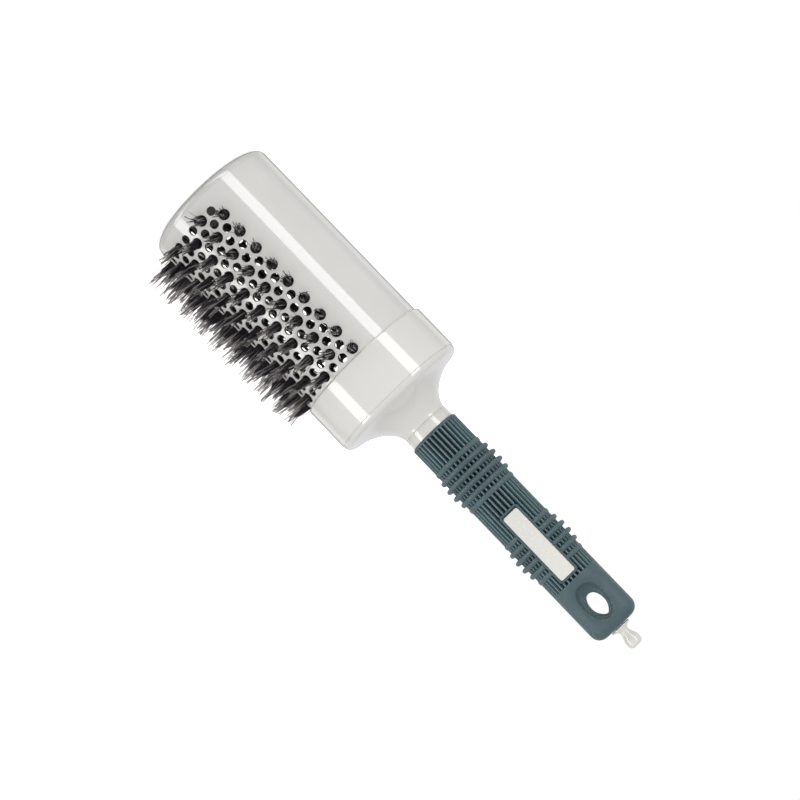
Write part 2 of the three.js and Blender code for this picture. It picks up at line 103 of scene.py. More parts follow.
# grip
RIB_COUNT = 34
SMOOTH_LENGTH = 23.8
RIBBED_LENGTH = GRIP_END - GRIP_START - SMOOTH_LENGTH
GROOVE_DEPTH = 2.3
PLAIN_BAND = 1.0
RING_PITCH = 3.53
RING_HALF_WIDTH = 1.04
RING_RADII = (10.6, 11.5, 12.0, 12.0, 11.5, 10.6)
FIRST_RING = 13.1
LAST_RING_TO_SMOOTH = 7.2
RING_GROUPS = (FIRST_RING, RIBBED_LENGTH - LAST_RING_TO_SMOOTH - RING_PITCH * (len(RING_RADII) - 1))
RINGS = [(start + RING_PITCH * i, radius) for start in RING_GROUPS for i, radius in enumerate(RING_RADII)]

# plate and its frame
PLATE_HALF_WIDTH = PLATE_HIGH[0]
PLATE_FACE = -PLATE_LOW[1]
FRAME_RIM = 0.75
FRAME_GAP = 0.12
FRAME_END_GAP = 0.65
FRAME_LOW = PLATE_LOW[2] - FRAME_END_GAP - FRAME_RIM
FRAME_HIGH = PLATE_HIGH[2] + FRAME_GAP + FRAME_RIM

VIEW_ANGLE = -3.0  # where the camera and the lamps stand round the axis


# ---------------------------------------------------------------- mesh tools

def polar(radius, angle, height):
    """A point in metres from a radius and height in millimetres and an angle in degrees."""
    turn = math.radians(angle)
    return Vector((radius * math.sin(turn), -radius * math.cos(turn), height)) * MM


def outward(angle):
    turn = math.radians(angle)
    return Vector((math.sin(turn), -math.cos(turn), 0))


def bare_mesh(name, bm):
    mesh = bpy.data.meshes.new(name)
    bm.to_mesh(mesh)
    bm.free()
    return mesh


def linked(name, data):
    made = bpy.data.objects.new(name, data)
    bpy.context.scene.collection.objects.link(made)
    return made


def piece_from(name, shape, materials, replaces=(), body="brush"):
    """Makes a bmesh or a mesh a finished piece that rides on a body and stands for its CAD nodes."""
    mesh = bare_mesh(name, shape) if isinstance(shape, bmesh.types.BMesh) else shape
    for finish in materials:
        mesh.materials.append(finish)
    mesh.polygons.foreach_set("use_smooth", [True] * len(mesh.polygons))
    piece = linked(name, mesh)
    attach(piece, body)
    if replaces:
        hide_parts(*replaces)
    return piece


def creased(bm, degrees):
    """Marks edges sharper than the given angle, so that the shading breaks there."""
    for edge in bm.edges:
        if len(edge.link_faces) == 2 and edge.calc_face_angle() > math.radians(degrees):
            edge.smooth = False
    return bm


def turned(profile, steps=128):
    """Spins a chain of (radius, height) points round the axis into a closed shell."""
    bm = bmesh.new()
    chain = [bm.verts.new((radius * MM, 0, height * MM)) for radius, height in profile]
    edges = [bm.edges.new(pair) for pair in zip(chain, chain[1:])]
    bmesh.ops.spin(
        bm, geom=chain + edges, axis=(0, 0, 1), cent=(0, 0, 0), dvec=(0, 0, 0),
        angle=math.tau, steps=steps, use_merge=True,
    )
    bmesh.ops.remove_doubles(bm, verts=bm.verts, dist=1e-7)
    bmesh.ops.recalc_face_normals(bm, faces=bm.faces)
    return creased(bm, 40)


def arc(centre_radius, centre_height, radius_r, radius_h, start, end, steps, filling=1.0):
    """Profile points on an elliptic arc between two angles in degrees.

    More filling brings the arc nearer to its chord.
    """
    points = []
    for i in range(steps + 1):
        turn = math.radians(start + (end - start) * i / steps)
        across = math.copysign(abs(math.cos(turn)) ** filling, math.cos(turn))
        along = math.copysign(abs(math.sin(turn)) ** filling, math.sin(turn))
        points.append((centre_radius + radius_r * across, centre_height + radius_h * along))
    return points


def drawn_out(bm, face, outlines):
    """Extrudes a face through outlines with as many points as it has, and returns its end."""
    for outline in outlines:
        face = bmesh.ops.extrude_discrete_faces(bm, faces=[face])["faces"][0]
        for vert, point in zip(face.verts[:], outline):
            vert.co = point
    return face


def rounded(bm, edges, size, segments):
    bmesh.ops.bevel(
        bm, geom=edges, offset=size * MM, offset_type="OFFSET", affect="EDGES",
        segments=segments, profile=0.5, material=-1,
    )


def moved(found):
    """The vertices among the geometry that an operator gives back."""
    return [element for element in found if isinstance(element, bmesh.types.BMVert)]


def evaluated_mesh(carrier):
    """The mesh of an object with its modifiers or its bevel applied; the object itself is removed."""
    graph = bpy.context.evaluated_depsgraph_get()
    mesh = bpy.data.meshes.new_from_object(carrier.evaluated_get(graph))
    bpy.data.objects.remove(carrier)
    return mesh


# ---------------------------------------------------------------- materials

def material(name, **values):
    """A Principled material; values are its sockets' names with spaces as underscores."""
    made = bpy.data.materials.new(name)
    made.use_nodes = True
    shader = made.node_tree.nodes["Principled BSDF"]
    for key, value in values.items():
        shader.inputs[key.replace("_", " ")].default_value = value
    return made, made.node_tree, shader


def object_noise(tree, scale, detail=3.0, roughness=0.5, stretch=(1, 1, 1)):
    """Noise on Object coordinates, with its scale in cycles per metre."""
    place = tree.nodes.new("ShaderNodeTexCoord")
    mapping = tree.nodes.new("ShaderNodeMapping")
    mapping.inputs["Scale"].default_value = stretch
    noise = tree.nodes.new("ShaderNodeTexNoise")
    noise.inputs["Scale"].default_value = scale
    noise.inputs["Detail"].default_value = detail
    noise.inputs["Roughness"].default_value = roughness
    tree.links.new(place.outputs["Object"], mapping.inputs["Vector"])
    tree.links.new(mapping.outputs["Vector"], noise.inputs["Vector"])
    return noise.outputs["Fac"]


def ramp(tree, source, stops):
    """A colour ramp with (position, colour) stops."""
    node = tree.nodes.new("ShaderNodeValToRGB")
    elements = node.color_ramp.elements
    while len(elements) < len(stops):
        elements.new(0.5)
    for element, (position, colour) in zip(elements, stops):
        element.position = position
        element.color = (*colour, 1)
    tree.links.new(source, node.inputs["Fac"])
    return node.outputs["Color"]


def remap(tree, source, low, high, source_low=0.0, source_high=1.0):
    node = tree.nodes.new("ShaderNodeMapRange")
    node.inputs["From Min"].default_value = source_low
    node.inputs["From Max"].default_value = source_high
    node.inputs["To Min"].default_value = low
    node.inputs["To Max"].default_value = high
    tree.links.new(source, node.inputs["Value"])
    return node.outputs["Result"]


def multiplied(tree, first, second):
    node = tree.nodes.new("ShaderNodeMix")
    node.data_type = "RGBA"
    node.blend_type = "MULTIPLY"
    node.inputs["Factor"].default_value = 1
    tree.links.new(first, node.inputs["A"])
    tree.links.new(second, node.inputs["B"])
    return node.outputs["Result"]


def bump(tree, shader, source, strength, distance):
    node = tree.nodes.new("ShaderNodeBump")
    node.inputs["Strength"].default_value = strength
    node.inputs["Distance"].default_value = distance
    tree.links.new(source, node.inputs["Height"])
    tree.links.new(node.outputs["Normal"], shader.inputs["Normal"])


def attribute(tree, name):
    node = tree.nodes.new("ShaderNodeAttribute")
    node.attribute_name = name
    return node.outputs["Fac"]


def shade(colour, share):
    return tuple(channel * share for channel in colour)


def ceramic_coat():
    """Warm pearl-grey ceramic enamel over aluminium: an even satin base under a clear glossy coat."""
    made, tree, shader = material(
        "ceramic_coat", Coat_Weight=1.0, Coat_Roughness=0.012, Coat_IOR=1.5, Specular_IOR_Level=0.12,
    )
    colour = (0.7, 0.694, 0.676)
    tint = ramp(tree, object_noise(tree, 60, 4), [(0.35, shade(colour, 0.98)), (0.65, shade(colour, 1.02))])
    tree.links.new(tint, shader.inputs["Base Color"])
    tree.links.new(remap(tree, object_noise(tree, 900, 2), 0.45, 0.55), shader.inputs["Roughness"])
    bump(tree, shader, object_noise(tree, 2500, 1), 0.03, 0.0001)
    return made


def pearl_plastic(name, colour, roughness=0.35, coat=0.7, sheen=0.0):
    """Injection-moulded pearl plastic with a faint flow pattern; the sheen is the pearl's cool edge."""
    made, tree, shader = material(
        name, Coat_Weight=coat, Coat_Roughness=0.015, Coat_IOR=1.5, Specular_IOR_Level=0.15,
        Sheen_Weight=sheen, Sheen_Roughness=0.3,
    )
    shader.inputs["Sheen Tint"].default_value = (0.93, 0.92, 1, 1)
    flow = object_noise(tree, 45, 3, stretch=(1, 1, 0.4))
    tint = ramp(tree, flow, [(0.35, shade(colour, 0.98)), (0.65, shade(colour, 1.02))])
    tree.links.new(tint, shader.inputs["Base Color"])
    spread = remap(tree, object_noise(tree, 700, 2), roughness - 0.04, roughness + 0.04)
    tree.links.new(spread, shader.inputs["Roughness"])
    return made


RUBBER_COLOUR = (0.066, 0.106, 0.117)


def teal_rubber(name, with_painted_rib_light=False):
    """Soft-touch rubber, matt and fine-grained. On the ribbed sleeve it takes painted shade on the groove
    floors and a painted highlight on the rib tops.
    """
    made, tree, shader = material(name, Sheen_Weight=0.15, Sheen_Roughness=0.4, Specular_IOR_Level=0.35)
    shader.inputs["Sheen Tint"].default_value = (0.75, 0.9, 0.92, 1)
    mottle = object_noise(tree, 220, 5, 0.6)
    if with_painted_rib_light:
        # painted shade and painted highlight: groove floors at a fifth of the rubber colour, rib tops at 1.75
        # times it
        tint = ramp(tree, attribute(tree, "painted_rib_light"), [
            (0.0, shade(RUBBER_COLOUR, 0.2)), (0.5, RUBBER_COLOUR), (1.0, shade(RUBBER_COLOUR, 1.75)),
        ])
        tint = multiplied(tree, tint, ramp(tree, mottle, [(0.3, (0.9,) * 3), (0.7, (1.1,) * 3)]))
    else:
        tint = ramp(tree, mottle, [(0.3, shade(RUBBER_COLOUR, 0.92)), (0.7, shade(RUBBER_COLOUR, 1.08))])
    tree.links.new(tint, shader.inputs["Base Color"])
    tree.links.new(remap(tree, object_noise(tree, 1500, 3), 0.48, 0.62), shader.inputs["Roughness"])
    bump(tree, shader, object_noise(tree, 9000, 2), 0.1, 0.0001)
    return made


def toned_filament(name, dark, light, roughness, transmission=0.0):
    """Nylon filament whose tone varies from strand to strand by the mesh's tone attribute."""
    made, tree, shader = material(
        name, Roughness=roughness, Transmission_Weight=transmission, IOR=1.5, Specular_IOR_Level=0.25,
    )
    tint = ramp(tree, attribute(tree, "tone"), [(0.0, dark), (1.0, light)])
    tree.links.new(tint, shader.inputs["Base Color"])
    return made


def bare_metal(name, colour, roughness, dents=0.0):
    made, tree, shader = material(name, Metallic=1.0)
    shader.inputs["Base Color"].default_value = (*colour, 1)
    streaks = object_noise(tree, 900, 3, stretch=(1, 1, 0.05))
    tree.links.new(remap(tree, streaks, roughness - 0.08, roughness + 0.08), shader.inputs["Roughness"])
    if dents:
        bump(tree, shader, object_noise(tree, 420, 2), dents, 0.001)
    return made


CERAMIC = ceramic_coat()
CAP_PEARL = pearl_plastic("cap_pearl", (0.66, 0.655, 0.64), coat=0.9)
COLLAR_PEARL = pearl_plastic("collar_pearl", (0.725, 0.711, 0.682), coat=1.0)
NECK_PEARL = pearl_plastic("neck_pearl", (0.69, 0.678, 0.65), coat=1.0, sheen=0.3)
PLATE_PEARL = pearl_plastic("plate_pearl", (0.76, 0.755, 0.72), roughness=0.45, coat=0.1)
PIN_PEARL = pearl_plastic("pin_pearl", (0.71, 0.7, 0.665), roughness=0.22)
RUBBER = teal_rubber("teal_rubber")
# the ribbed rubber has painted shade in its grooves and painted highlights on its rib tops
RIBBED_RUBBER = teal_rubber("ribbed_rubber", with_painted_rib_light=True)
BLACK_NYLON = toned_filament("black_nylon", (0.005, 0.004, 0.007), (0.022, 0.018, 0.026), 0.5)
GREY_NYLON = toned_filament("grey_nylon", (0.26, 0.235, 0.23), (0.78, 0.75, 0.745), 0.25, 0.8)
INNER_METAL = bare_metal("inner_metal", (0.3, 0.29, 0.28), 0.6, dents=0.35)
WIRE_STEEL = bare_metal("wire_steel", (0.55, 0.56, 0.57), 0.25)


# ---------------------------------------------------------------- barrel

def row_angle(row):
    return FIRST_ROW_ANGLE + 360 / ROWS_PER_TURN * row


def row_top(row):
    return TOP_HOLE - (HOLE_PITCH / 2 if row % 2 else 0)


def hole_heights(row):
    return [row_top(row) - HOLE_PITCH * k for k in range(HOLES_PER_ROW)]


TUFT_ROWS = range(0, ROW_COUNT, TUFT_ROW_STEP)


def cell_border(steps=4):
    """The six-sided border between neighbouring holes, in millimetres on the unrolled barrel."""
    rise = (ROW_WIDTH ** 2 + (HOLE_PITCH / 2) ** 2) / HOLE_PITCH
    side = HOLE_PITCH / 2 - rise
    w = ROW_WIDTH
    corners = [Vector(c) for c in ((0, rise), (-w, side), (-w, -side), (0, -rise), (w, -side), (w, side))]
    ends = corners[1:] + corners[:1]
    return [start.lerp(end, i / steps) for start, end in zip(corners, ends) for i in range(steps)]


def wall_cell(radius):
    """One cell of the wall laid flat with its outside up: a hole with a rolled edge, or plain."""
    border = cell_border()

    def level(points, depth):
        return [(point.x, point.y, -depth) for point in points]

    def circle(size):
        return [point.normalized() * size for point in border]

    bm = bmesh.new()
    face = bm.faces.new([bm.verts.new(point) for point in level(border, 0)])
    if not radius:
        inner = bm.faces.new([bm.verts.new(point) for point in reversed(level(border, BARREL_WALL))])
        bmesh.ops.poke(bm, faces=[face, inner])
        return bm
    rim = circle(radius + HOLE_ROLL)
    halfway = [point.lerp(end, 0.5) for point, end in zip(border, rim)]
    face = drawn_out(bm, face, [
        level(halfway, 0), level(rim, 0), level(circle(radius + HOLE_ROLL * 0.3), HOLE_ROLL * 0.3),
        level(circle(radius), HOLE_ROLL), level(circle(radius), BARREL_WALL), level(border, BARREL_WALL),
    ])
    bmesh.ops.delete(bm, geom=[face], context="FACES_ONLY")
    return bm


def barrel_shell():
    """The tube wall: cells laid side by side, trimmed at the ends and rolled up into the barrel."""
    cells = {radius: bare_mesh("cell", wall_cell(radius)) for radius in (0, VENT_RADIUS, TUFT_HOLE_RADIUS)}
    bm = bmesh.new()
    for row in range(ROWS_PER_TURN):
        first = row_top(row)
        hole = TUFT_HOLE_RADIUS if row in TUFT_ROWS else VENT_RADIUS
        above = math.ceil((TUBE_HIGH[2] - first) / HOLE_PITCH)
        below = math.ceil((first - TUBE_LOW[2]) / HOLE_PITCH)
        for k in range(-above, below + 1):
            known = len(bm.verts)
            bm.from_mesh(cells[hole if row < ROW_COUNT and 0 <= k < HOLES_PER_ROW else 0])
            bm.verts.ensure_lookup_table()
            place = (row * ROW_WIDTH, first - HOLE_PITCH * k, 0)
            bmesh.ops.translate(bm, vec=place, verts=bm.verts[known:])
    for height, side in ((TUBE_LOW[2], -1), (TUBE_HIGH[2], 1)):
        bmesh.ops.bisect_plane(
            bm, geom=bm.verts[:] + bm.edges[:] + bm.faces[:], dist=1e-4, plane_co=(0, height, 0),
            plane_no=(0, side, 0), clear_outer=True,
        )
    for vert in bm.verts:
        angle = FIRST_ROW_ANGLE + math.degrees(vert.co.x / BARREL_RADIUS)
        vert.co = polar(BARREL_RADIUS + vert.co.z, angle, vert.co.y)
    bmesh.ops.remove_doubles(bm, verts=bm.verts, dist=1e-6)
    for height in (TUBE_LOW[2], TUBE_HIGH[2]):
        rims = [
            edge for edge in bm.edges
            if edge.is_boundary and all(abs(vert.co.z - height * MM) < 1e-5 for vert in edge.verts)
        ]
        bmesh.ops.bridge_loops(bm, edges=rims)

    # the coat ends in the rolled edges of the holes, and the skin between them is shaded as a true cylinder
    skin_radius = (BARREL_RADIUS - HOLE_ROLL * 1.05) * MM
    for face in bm.faces:
        face.material_index = int(face.calc_center_median().xy.length < skin_radius)
    bm.normal_update()
    on_face = (BARREL_RADIUS - 0.002) * MM
    normals = [
        vert.co.xy.normalized().to_3d() if vert.co.xy.length > on_face else vert.normal.copy()
        for vert in bm.verts
    ]
    shell = piece_from("barrel_shell", bm, [CERAMIC, INNER_METAL], ["barrel_tube"])
    shell.data.normals_split_custom_set_from_vertices(normals)


# ---------------------------------------------------------------- cap, collar, neck and core

def end_cap():
    plug = TUBE_INNER - FIT
    seam = TUBE_LOW[2]
    profile = [(0, 0.35), (19.4, 0.35), (19.8, 0.1), (20.3, 0)]
    profile += arc(BARREL_RADIUS - CAP_ROUND, CAP_HEIGHT, CAP_ROUND, CAP_HEIGHT, -90, 0, 24)
    profile += [(BARREL_RADIUS, seam - 0.12), (BARREL_RADIUS - 0.06, seam - 0.03), (plug, seam - 0.03)]
    profile += [(plug, CAP_TOP), (plug - PLUG_WALL, CAP_TOP), (plug - PLUG_WALL, CAP_FLOOR), (0, CAP_FLOOR)]
    piece_from("cap_shell", turned(profile, 160), [CAP_PEARL], ["end_cap"])


def collar_shell():
    inner = BARREL_RADIUS + 0.04
    lip = 0.9
    edge = 0.22
    end = COLLAR_END - 0.03
    profile = [(inner, COLLAR_START), (COLLAR_RADIUS - lip, COLLAR_START)]
    profile += arc(COLLAR_RADIUS - lip, COLLAR_START + lip, lip, lip, -90, 0, 8)
    profile += arc(COLLAR_RADIUS - edge, end - edge, edge, edge, 0, 90, 5)
    profile += [(inner, end), (inner, COLLAR_START)]
    piece_from("collar_shell", turned(profile, 160), [COLLAR_PEARL], ["collar"])


def neck_shell():
    """The trumpet: a rounded shoulder that runs at the same slope into the flare, and a spigot in the tube."""
    rim = NECK_HIGH[0]
    spigot = TUBE_INNER - FIT
    hollow = spigot - PLUG_WALL
    hollow_end = COLLAR_END + 8
    shoulder = 2.0
    shoulder_start = COLLAR_END + 0.55
    flare_height = NECK_END - shoulder_start - shoulder
    bore = 5.3
    profile = [(spigot, NECK_LOW[2]), (spigot, COLLAR_END), (rim, COLLAR_END)]
    profile += arc(rim - shoulder, shoulder_start, shoulder, shoulder, 0, 78, 12)
    profile += arc(rim, NECK_END, rim - NECK_RADIUS, flare_height, 254, 181, 36, filling=1.11)
    profile += [
        (NECK_RADIUS, NECK_END - 0.15), (NECK_RADIUS - 0.1, NECK_END - 0.02), (bore, NECK_END - 0.02),
        (bore, hollow_end), (bore + 2.7, hollow_end), (hollow, COLLAR_END), (hollow, NECK_LOW[2]),
        (spigot, NECK_LOW[2]),
    ]
    piece_from("neck_shell", turned(profile, 160), [NECK_PEARL], ["neck"])


def core_shell():
    start = NECK_END + 0.02
    end = GRIP_START - 0.1
    spigot = 5
    shaft = 5.2
    profile = [(0, CORE_LOW[2]), (spigot, CORE_LOW[2]), (spigot, start)]
    profile += [(NECK_RADIUS - 0.1, start), (NECK_RADIUS, start + 0.13)]
    profile += [(NECK_RADIUS, end), (shaft, end), (shaft, CORE_HIGH[2]), (0, CORE_HIGH[2])]
    piece_from("core_shell", turned(profile, 96), [NECK_PEARL], ["handle_core"])


# ---------------------------------------------------------------- filaments

STRAND_SHARES = (0.0, 0.24, 0.5, 0.75, 1.0)
STRAND_SIDES = 6
ROOT_DEPTH = 2.0
FINE_STRANDS, FINE_STRANDS_QUICK = 56, 16
THICK_STRANDS = 13
STRAY_STRANDS = 3
TUFT_SPREAD = 1.85
FOLDED_ROOTS = 20
ROWS_PER_BANK = 3
BLACK, GREY = 0, 1


def tuft_strands(rng, angle, height, fine_count):
    """One tuft: a dense black bundle that narrows upwards, with longer thick grey filaments among it.

    A strand is its points, its radii, its tone and its finish.
    """
    out = outward(angle)
    side = Vector((-out.y, out.x, 0))
    up = Vector((0, 0, 1))
    lean = side * rng.gauss(0, 0.3) + up * rng.gauss(0, 0.3)
    strands = []

    def strand(root_size, reach, gather, sway, radii, tone, finish):
        turn = rng.uniform(0, math.tau)
        root = (side * math.cos(turn) + up * math.sin(turn)) * root_size
        drift = lean + side * rng.gauss(0, sway) + up * rng.gauss(0, sway)
        points = []
        for share in STRAND_SHARES:
            rise = (reach + ROOT_DEPTH) * share - ROOT_DEPTH
            climb = max(0.0, rise) / 8
            offset = root * (1 + gather * climb) + drift * climb ** 1.3
            points.append(polar(BARREL_RADIUS, angle, height) + (out * rise + offset) * MM)
        strands.append((points, radii, tone, finish))

    strand(0, 2.2, 0, 0, (1.6, 1.6, 1.4, 1.0, 0.5), 0.1, BLACK)
    for _ in range(fine_count):
        size = TUFT_SPREAD * math.sqrt(rng.random())
        radius = rng.uniform(0.11, 0.14)
        reach = 6.9 - 2.0 * (size / TUFT_SPREAD) ** 2 + rng.gauss(0, 0.5)
        strand(size, reach, -0.5, 0.25, (radius,) * 4 + (radius * 0.7,), rng.random(), BLACK)
    for _ in range(THICK_STRANDS):
        size = 1.5 * math.sqrt(rng.random())
        radius = rng.uniform(0.17, 0.22)
        strand(size, rng.triangular(7.4, 12.3, 9.8), 0.2, 0.45, (radius,) * 5, rng.random(), GREY)
    for _ in range(STRAY_STRANDS):
        strand(1.7, rng.uniform(4.0, 7.5), 0.6, 0.9, (0.075, 0.07, 0.065, 0.06, 0.04), rng.random(), BLACK)
    return strands


def folded_roots(rng, angle, height):
    """The hairpin roots of one tuft, as short loops along the row inside the tube."""
    out = outward(angle)
    side = Vector((-out.y, out.x, 0))
    strands = []
    for number in range(FOLDED_ROOTS):
        offset = side * rng.uniform(-2.6, 2.6)
        depth = rng.uniform(0.6, 1.15)
        points = []
        for share in STRAND_SHARES:
            turn = math.pi * share
            hairpin = Vector((0, 0, 1.9 * math.cos(turn))) - out * (depth * math.sin(turn))
            points.append(polar(TUBE_INNER - 0.9, angle, height) + (offset + hairpin) * MM)
        strands.append((points, (0.2,) * 5, rng.random() * 0.5, BLACK if number % 3 else GREY))
    return strands


def per_element(values, total, per_tube):
    """Each strand's value on its elements.

    A sweep's mesh has all the end caps, last strand first, and then the tubes.
    """
    per_caps = total // len(values) - per_tube
    caps = [value for value in reversed(values) for _ in range(per_caps)]
    return caps + [value for value in values for _ in range(per_tube)]


def swept(name, strands):
    """Sweeps a round section along every strand, and keeps each strand's tone on its vertices."""
    data = bpy.data.curves.new(name, "CURVE")
    data.dimensions = "3D"
    data.fill_mode = "FULL"
    data.bevel_depth = MM
    data.bevel_resolution = 1
    data.use_fill_caps = True
    for points, radii, _, finish in strands:
        spline = data.splines.new("POLY")
        spline.points.add(len(points) - 1)
        spline.points.foreach_set("co", [value for point in points for value in (*point, 1)])
        spline.points.foreach_set("radius", radii)
        spline.material_index = finish
    for finish in (BLACK_NYLON, GREY_NYLON):
        data.materials.append(finish)
    mesh = evaluated_mesh(linked(name, data))
    mesh.materials.clear()
    tones = [strand[2] for strand in strands]
    finishes = [strand[3] for strand in strands]
    levels = len(STRAND_SHARES)
    tone = mesh.attributes.new("tone", "FLOAT", "POINT")
    tone.data.foreach_set("value", per_element(tones, len(mesh.vertices), STRAND_SIDES * levels))
    indices = per_element(finishes, len(mesh.polygons), STRAND_SIDES * (levels - 1))
    mesh.polygons.foreach_set("material_index", indices)
    return mesh


def bristle_bank(index):
    """Three rows of tufts and the folded roots that the wires hold against the tube."""
    rng = random.Random(4100 + index)
    fine_count = FINE_STRANDS
    strands = []
    for row in TUFT_ROWS[ROWS_PER_BANK * index:ROWS_PER_BANK * (index + 1)]:
        for height in hole_heights(row):
            strands += tuft_strands(rng, row_angle(row), height, fine_count)
            strands += folded_roots(rng, row_angle(row), height)
    name = f"bristle_tufts_{index + 1}"
    bank_node = f"bristle_bank_{index + 1}"
    piece_from(name, swept(name, strands), [BLACK_NYLON, GREY_NYLON], [bank_node])


# ---------------------------------------------------------------- grip

def grip_levels():
    """Heights over the grip's start where the ribbed sleeve gets a loop of vertices."""
    longest_step = 1.6
    ring_shares = (-1.1, -1, -0.92, -0.78, -0.5, 0, 0.5, 0.78, 0.92, 1, 1.1)
    marks = [0.0, 0.06, 0.2, 0.45, 0.8, PLAIN_BAND, PLAIN_BAND + 0.1, PLAIN_BAND + 0.5]
    for centre, _ in RINGS:
        marks += [centre + RING_HALF_WIDTH * share for share in ring_shares]
    for end in (FRAME_LOW - GRIP_START, FRAME_HIGH - GRIP_START):
        marks += [end - 0.03, end + 0.03]
    marks += [RIBBED_LENGTH - 0.14, RIBBED_LENGTH - 0.02, RIBBED_LENGTH + 0.8]
    marks.sort()
    full = [marks[0]]
    for mark in marks[1:]:
        parts = int((mark - full[-1]) / longest_step) + 1
        start = full[-1]
        full += [start + (mark - start) * (i + 1) / parts for i in range(parts)]
    return full


def grip_columns():
    """Angles of the sleeve's vertex columns, with the share of rib height at each."""
    pitch = 360 / RIB_COUNT
    half = 0.2
    rib = ((-0.5, 0), (-half - 0.03, 0), (-half, 0.84), (-half + 0.05, 0.98), (0, 1), (half - 0.05, 0.98),
           (half, 0.84), (half + 0.03, 0))
    return [((k + share) * pitch, rise) for k in range(RIB_COUNT) for share, rise in rib]


def ring_radius(height):
    """Radius of the finger rings at a height, or zero between them."""
    for centre, radius in RINGS:
        share = abs(height - centre) / RING_HALF_WIDTH
        if share <= 1.001:
            base = GRIP_RADIUS - 0.4
            return base + (radius - base) * max(0.0, 1 - share ** 3) ** 0.5
    return 0.0


def ribbed_sleeve():
    """The ribbed part of the grip: a flat sheet of columns and levels, rolled up and pressed into shape."""
    levels = grip_levels()
    columns = grip_columns()
    floor = GRIP_RADIUS - GROOVE_DEPTH
    band_round = 0.8
    seat_radius = 8.7  # how far the sleeve is pressed in behind the plate
    bm = bmesh.new()
    # per-vertex painted light for the rubber: 0 paints shade on the groove floors, 1 paints a highlight on the
    # rib tops, 0.5 keeps the plain colour
    painted_rib_light = bm.verts.layers.float.new("painted_rib_light")
    bmesh.ops.create_grid(bm, x_segments=len(columns), y_segments=len(levels) - 1, size=1)
    for vert in bm.verts:
        angle, rise = columns[round((vert.co.x + 1) / 2 * len(columns)) % len(columns)]
        height = levels[round((vert.co.y + 1) / 2 * (len(levels) - 1))]
        plain = height <= PLAIN_BAND or height >= RIBBED_LENGTH - 0.08
        rise = 1.0 if plain else rise
        radius = floor + (GRIP_RADIUS - floor) * rise
        # the painted shade and highlight follow the rib height
        tone = 0.5 if plain else rise
        if height < band_round:
            radius -= band_round * (1 - math.sqrt(1 - (1 - height / band_round) ** 2))
        ring = ring_radius(height)
        if ring > 0:
            radius = max(radius, ring)
            # the finger rings get a faint painted highlight
            tone = 0.55
        across = radius * math.sin(math.radians(angle))
        at_front = math.cos(math.radians(angle)) > 0 and abs(across) < PLATE_HALF_WIDTH + FRAME_RIM
        if at_front and FRAME_LOW < height + GRIP_START < FRAME_HIGH:
            radius = min(radius, seat_radius)
        vert.co = polar(radius, angle, GRIP_START + height)
        vert[painted_rib_light] = tone
    bmesh.ops.remove_doubles(bm, verts=bm.verts, dist=1e-6)
    start = [e for e in bm.edges if e.is_boundary and e.verts[0].co.z < (GRIP_START + 0.01) * MM]
    bore = bmesh.ops.extrude_edge_only(bm, edges=start)["geom"]
    bmesh.ops.scale(bm, vec=(0.58, 0.58, 1), verts=moved(bore))
    bmesh.ops.recalc_face_normals(bm, faces=bm.faces)
    piece_from("grip_ribs", creased(bm, 50), [RIBBED_RUBBER], ["grip_sleeve"])


def front_block(low, high, corner):
    """A block between two corners, its edges along Y rounded; also its front face."""
    bm = bmesh.new()
    bmesh.ops.create_cube(bm, size=MM)
    bmesh.ops.scale(bm, vec=[h - l for l, h in zip(low, high)], verts=bm.verts)
    bmesh.ops.translate(bm, vec=[(h + l) / 2 * MM for l, h in zip(low, high)], verts=bm.verts)
    rounded(bm, [e for e in bm.edges if abs(e.verts[0].co.y - e.verts[1].co.y) > 1e-6], corner, 6)
    return bm, min(bm.faces, key=lambda face: face.calc_center_median().y)


def plate_frame():
    """The rubber rim that stands round the plate, with a slot at the plate's end nearer the barrel."""
    half = PLATE_HALF_WIDTH + FRAME_GAP + FRAME_RIM
    top = PLATE_FACE + 0.12
    bm, front = front_block((-half, -top, FRAME_LOW), (half, -7.5, FRAME_HIGH), 1.3)
    bmesh.ops.inset_region(bm, faces=[front], thickness=FRAME_RIM * MM, use_even_offset=True)
    pocket = bmesh.ops.extrude_discrete_faces(bm, faces=[front])["faces"][0]
    bmesh.ops.translate(bm, vec=(0, 1.3 * MM, 0), verts=pocket.verts[:])
    level = -top * MM + 1e-6
    faces = [face for face in bm.faces if all(v.co.y < level for v in face.verts)]
    rim = {edge for face in faces for edge in face.edges if not all(f in faces for f in edge.link_faces)}
    rounded(bm, list(rim), 0.16, 3)
    bmesh.ops.recalc_face_normals(bm, faces=bm.faces)
    piece_from("plate_frame", creased(bm, 35), [RUBBER])


def plate_face():
    bm, front = front_block(PLATE_LOW, PLATE_HIGH, 0.85)
    rounded(bm, front.edges[:], 0.2, 4)
    bmesh.ops.recalc_face_normals(bm, faces=bm.faces)
    piece_from("plate_shell", creased(bm, 35), [PLATE_PEARL], ["label_plate"])


# ---------------------------------------------------------------- smooth end with its eye

EYE_TO_END = 11.05
EYE_HEIGHT = GRIP_END - EYE_TO_END
EYE_HALF_LENGTH = 5.1
EYE_HALF_WIDTH = 3.2
PADDLE_HALF_DEPTH = 7.5
PADDLE_CORNER = 4.1
DISH_HALF_SIZE = (5.2, 3.6, 8.1)
DISH_CENTRE_DEPTH = 7.9
DISH_SHIFT = 1.9  # the dish lies nearer to the ribs than the eye does


def paddle_outline(half_width, half_depth, power, height, count=96):
    """A rounded-square outline round the axis."""
    points = []
    for k in range(count):
        c, s = math.cos(math.tau * k / count), math.sin(math.tau * k / count)
        x = half_width * math.copysign(abs(c) ** (2 / power), c)
        y = half_depth * math.copysign(abs(s) ** (2 / power), s)
        points.append(Vector((x, y, height)) * MM)
    return points


